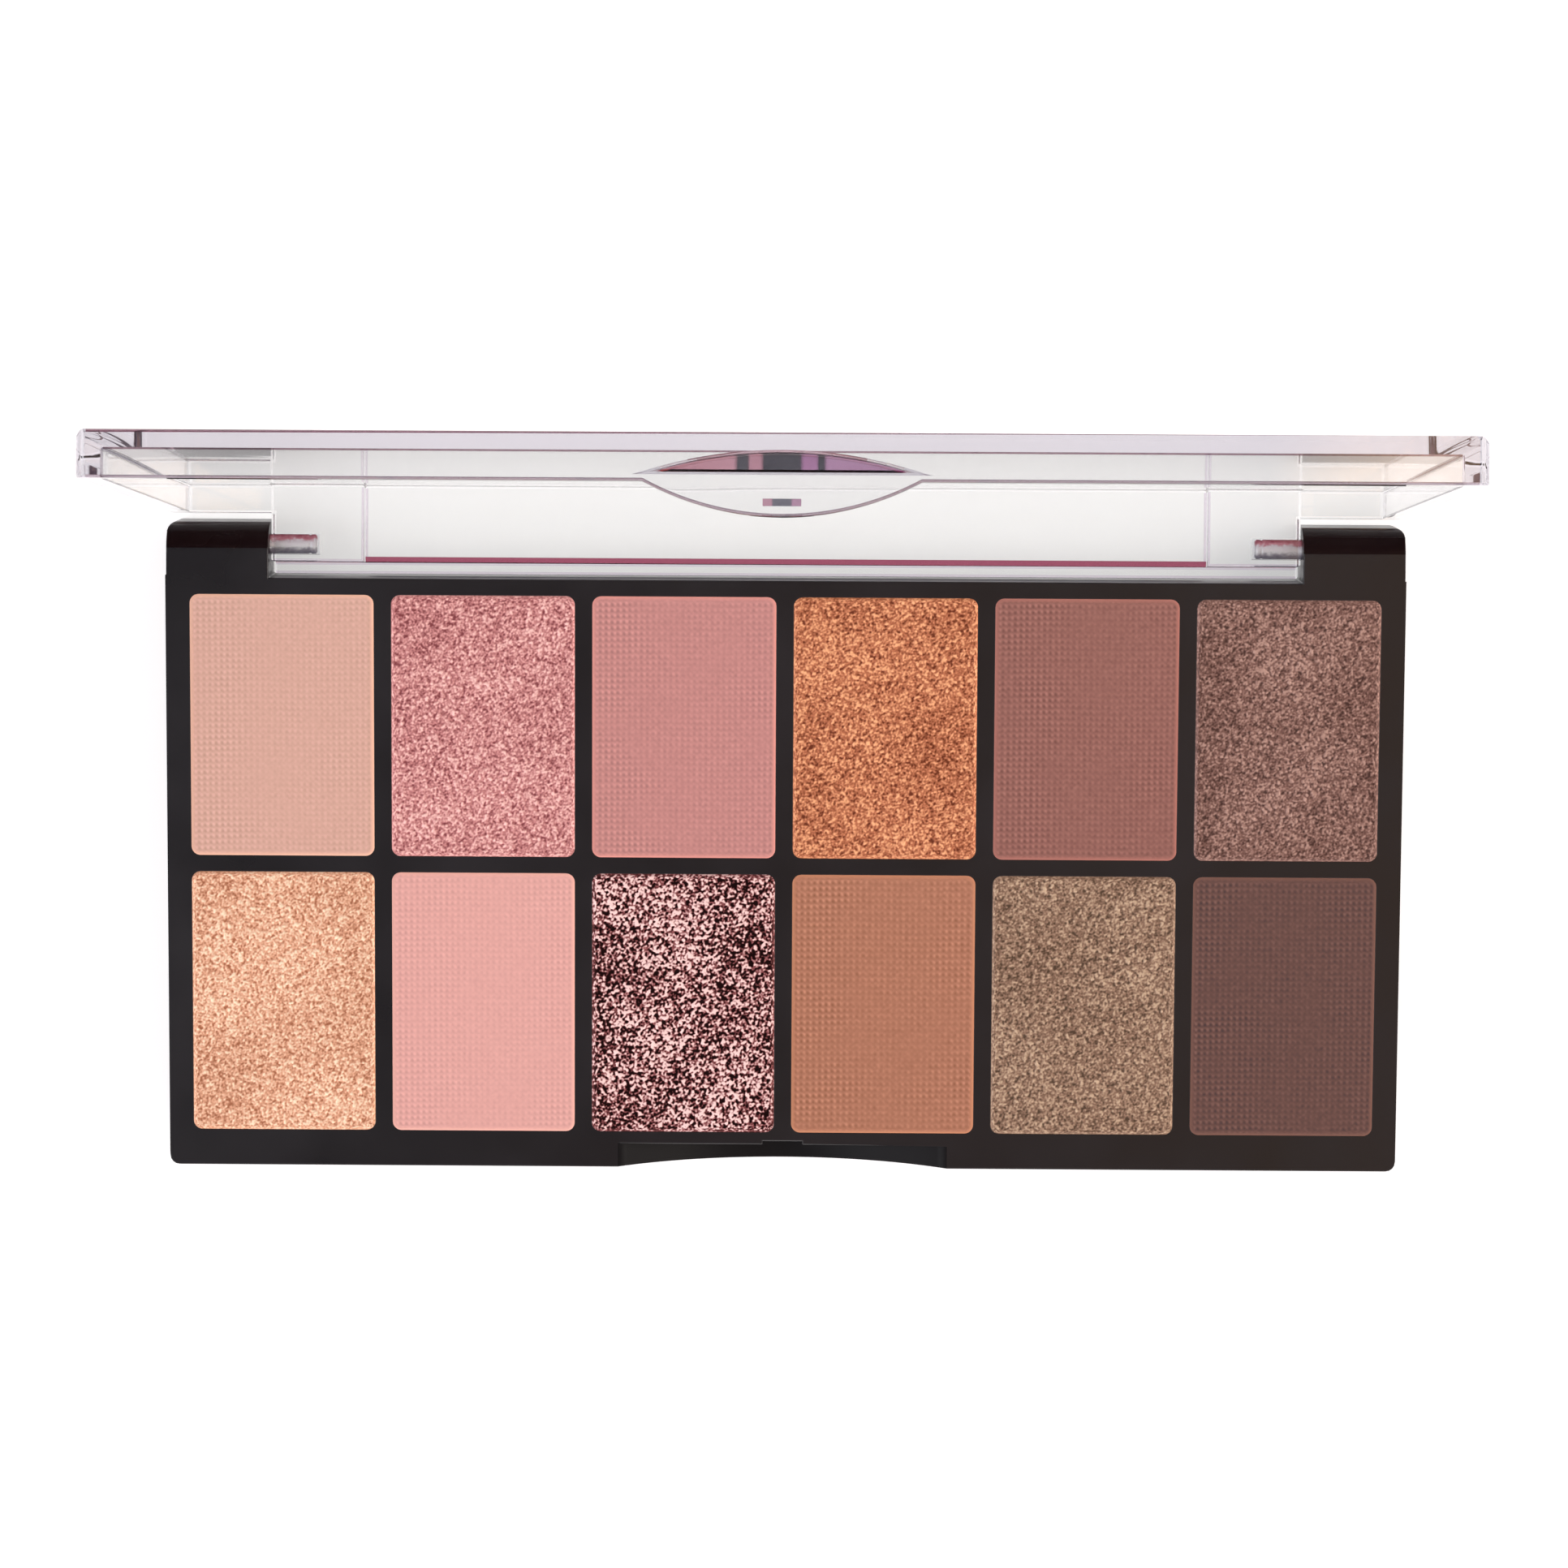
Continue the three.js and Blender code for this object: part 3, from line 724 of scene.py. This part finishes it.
def makePinSteel():
    # drawn steel wire with mottled plating, coloured by place across Y: a painted highlight along its top,
    # painted shade below and a rosy painted reflection of the cloth behind
    material, tree = newMaterial("platedSteelWire")
    point = objectPoint(tree)
    across = addNode(tree, "ShaderNodeSeparateXYZ", Vector=point).outputs["Y"]
    mottle = addNode(tree, "ShaderNodeTexNoise", Vector=point, Scale=1 / (hingePin["blotch"] * mm),
                     Detail=3.0).outputs["Fac"]
    middle = hinge["pos_m"][1]
    spread = hingePin["blotchShift"]
    place = addMath(tree, "ADD", addRange(tree, across, middle - mm, middle + mm),
                    addRange(tree, mottle, *noiseReach, -spread, spread))
    bump = addNode(tree, "ShaderNodeBump", Height=mottle, Strength=0.5, Distance=hingePin["bump"] * mm)
    finishMaterial(tree, Base_Color=addRamp(tree, place, hingePin["colors"]), Metallic=0.6,
                   Roughness=addRange(tree, mottle, *noiseReach, 0.3, 0.45), Normal=bump.outputs["Normal"])
    return material


steel = makePinSteel()
for nodeName in [name for name in frame["nodes"] if name.startswith("hinge_pin")]:
    pin = makePin(nodeName, "steelPin" + nodeName.split("_")[-1].title())
    dress(pin, steel)
    useFor(pin, "base", nodeName)
print("hinge pins ready")


hiddenParts = {
    # stamped tinplate pans: bright grey metal with a faint rolling grain
    "pan_": ("stampedTinplate", {
        "darker": "b9b9bd", "lighter": "d2d2d5", "metallic": 1.0, "roughness": (0.3, 0.42),
        "cloud": 3.0, "grain": 0.15, "bump": 0.003,
    }),
    # hot melt pads: milky and slightly yellow with a lumpy skin
    "glue_pad": ("hotMelt", {
        "darker": "dcd3bd", "lighter": "ece6d6", "roughness": (0.35, 0.5),
        "cloud": 2.0, "grain": 0.6, "bump": 0.05,
    }),
    # blank coated paper: white with a faint fibre cloud
    "base_label": ("coatedPaper", {
        "darker": "e2e2e0", "lighter": "eeeeec", "roughness": (0.5, 0.62),
        "cloud": 1.5, "grain": 0.12, "bump": 0.004,
    }),
}
for start, (name, values) in hiddenParts.items():
    material = makeGrained(name, values)
    for nodeName, obj in frame["nodes"].items():
        if nodeName.startswith(start):
            dress(obj, material)
dress(frame["nodes"]["bottom_plate"], absMaterial)
print("pans, glue, label and plate dressed")

bpy.context.view_layer.update()
